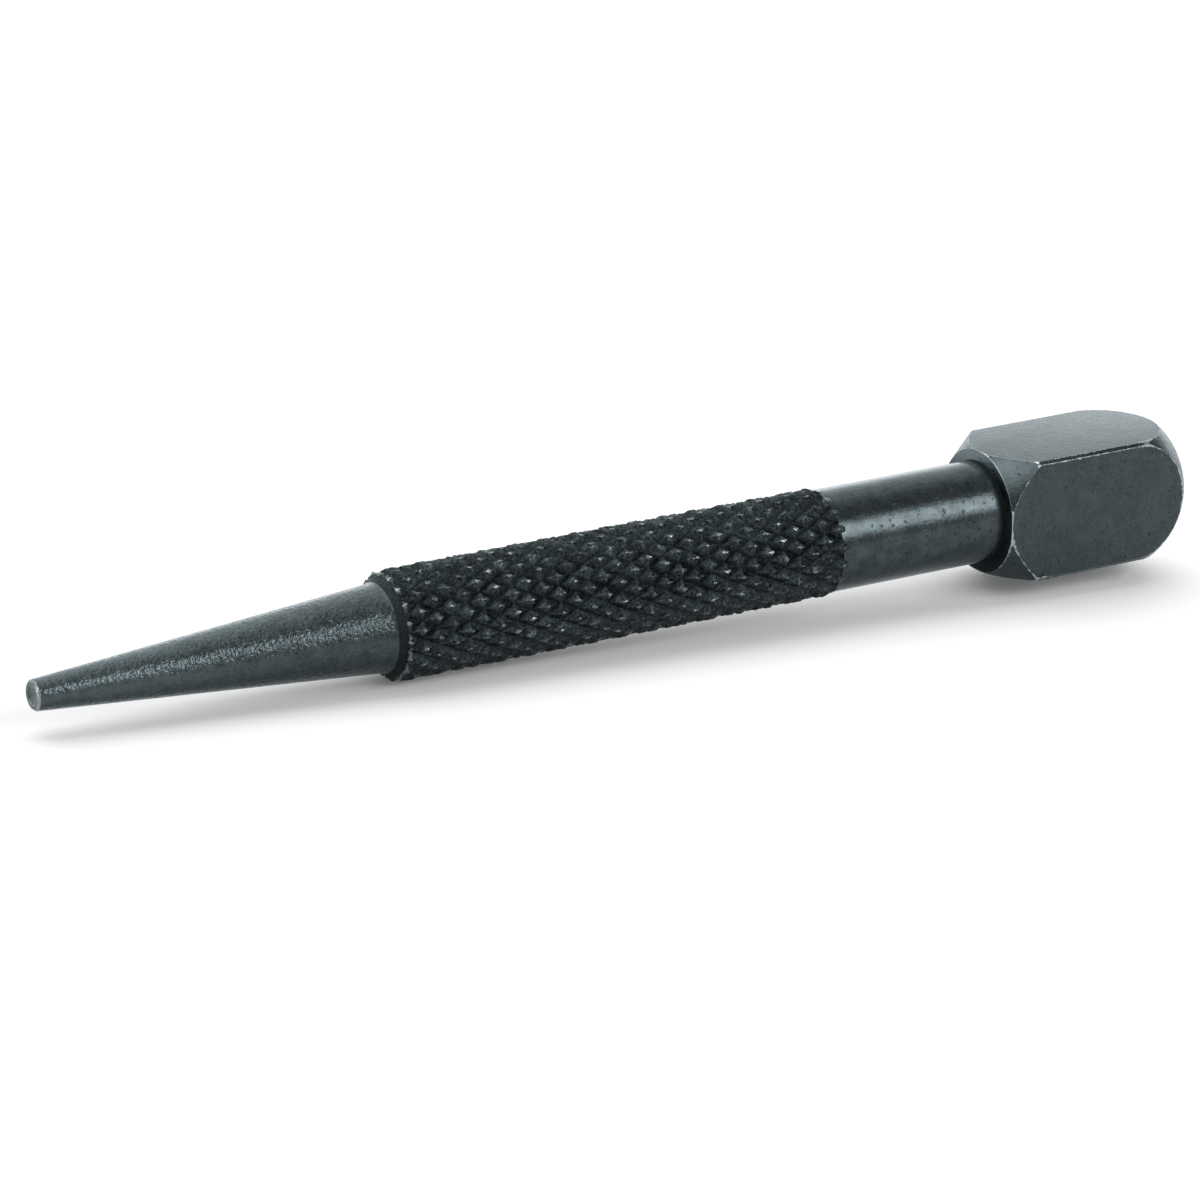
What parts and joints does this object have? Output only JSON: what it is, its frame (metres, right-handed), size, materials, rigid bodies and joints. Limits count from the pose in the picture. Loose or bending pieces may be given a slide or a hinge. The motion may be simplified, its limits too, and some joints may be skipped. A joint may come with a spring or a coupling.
{
  "type": "nail setter",
  "caption": "Hand punch of blackened steel with a cupped taper point, a diamond-knurled grip, a plain round shank and a square domed striking head.",
  "frame": {"origin": "centre of the tip's end plane, where the tool meets the nail", "axes": "+X along the tool's axis from the tip to the striking dome, +Z square to one flat of the head"},
  "size_m": [0.1016, 0.01, 0.01],
  "materials": {
    "tip": "ground end, dark steel with a worn bright rim",
    "point": "black oxide, fine grainy texture",
    "knurl": "black oxide, crests lightly worn",
    "shank": "black oxide, satin with small pits",
    "head": "black oxide, satin, mottled, with worn edges"
  },
  "bodies": {
    "root": {"cupped_tip": "tip", "tapered_point": "point", "knurled_grip": "knurl", "plain_shank": "shank", "striking_head": "head"}
  },
  "joints": []
}
